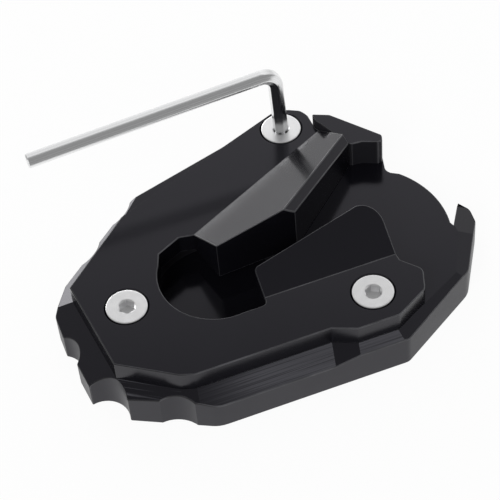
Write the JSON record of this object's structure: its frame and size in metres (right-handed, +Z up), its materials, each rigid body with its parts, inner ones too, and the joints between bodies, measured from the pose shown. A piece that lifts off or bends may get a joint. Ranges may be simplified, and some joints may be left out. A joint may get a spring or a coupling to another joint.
{
  "type": "side stand foot enlarger",
  "caption": "Milled foot pad for a motorbike side stand: chamfered base plate, clamp plate with sloping guide ridges, countersunk screws and a hex key.",
  "frame": {"origin": "centre of the base plate's overall length and width, on the ground", "axes": "+X along the straight front edge, from the scalloped end to the hook; +Y from the front edge to the rear; +Z up, out of the base plate's floor"},
  "size_m": [0.1234, 0.091, 0.0447],
  "materials": {
    "base_black": "black anodised, milled, satin",
    "clamp_black": "black anodised, milled, satin",
    "screw_steel": "turned stainless steel",
    "key_steel": "bright plated steel"
  },
  "bodies": {
    "root": {"base_plate": "base_black", "clamp_plate": "clamp_black", "screw_left": "screw_steel", "screw_front": "screw_steel", "screw_rear": "screw_steel", "hex_key": "key_steel"}
  },
  "joints": []
}
